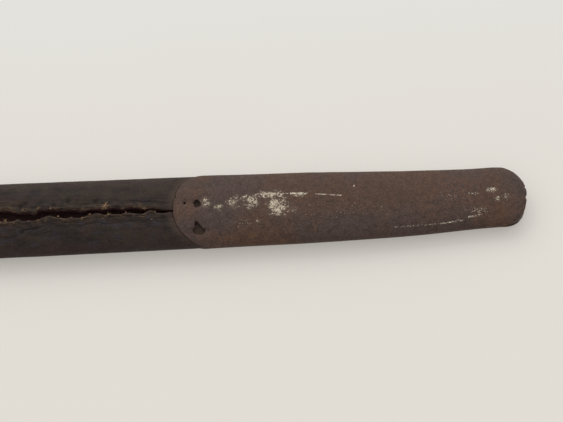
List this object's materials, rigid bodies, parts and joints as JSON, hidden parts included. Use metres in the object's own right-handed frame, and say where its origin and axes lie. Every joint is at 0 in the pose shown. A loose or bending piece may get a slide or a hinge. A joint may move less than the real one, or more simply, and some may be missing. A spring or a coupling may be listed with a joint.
{
  "type": "leather sword scabbard",
  "caption": "Leather scabbard for a short straight sword, its seam split above a tapered iron chape, with an iron locket, a middle band and loose carrying rings.",
  "frame": {"origin": "middle of the mouth's face, where the sword's guard rests", "axes": "+X along the scabbard from the mouth to the tip, +Z out of the side with the leather's seam, the rings on the -Y edge"},
  "size_m": [0.62, 0.0697, 0.0162],
  "materials": {
    "leather": "worn black hide, dull with a slight polish",
    "thread": "waxed linen, dull",
    "iron": "dark brown rust patina, dull",
    "worn_iron": "dark iron rubbed by handling"
  },
  "bodies": {
    "scabbard": {"leather_body": "leather", "seam_thread": "thread", "chape_shell": "iron", "chape_end_plug": "iron", "chape_pins": "worn_iron", "locket_shell": "iron", "locket_pins": "worn_iron", "mouth_rim": "worn_iron", "mouth_liner": "worn_iron", "mouth_screws": "worn_iron", "upper_ring_strap": "iron", "upper_ring_loop": "iron", "middle_band": "iron", "band_pins": "worn_iron", "lower_ring_strap": "iron", "lower_ring_loop": "iron"},
    "upper_ring_body": {"upper_ring": "worn_iron"},
    "lower_ring_body": {"lower_ring": "worn_iron"}
  },
  "joints": [
    {"name": "upper_ring_swing", "type": "hinge", "parent": "scabbard", "child": "upper_ring_body", "pos_m": [0.04, -0.02366, -0.00009], "axis": [-1, 0, 0], "range_deg": [-106, 138]},
    {"name": "lower_ring_swing", "type": "hinge", "parent": "scabbard", "child": "lower_ring_body", "pos_m": [0.23, -0.0225, -0.0005], "axis": [-1, 0, 0], "range_deg": [-106, 138]}
  ]
}
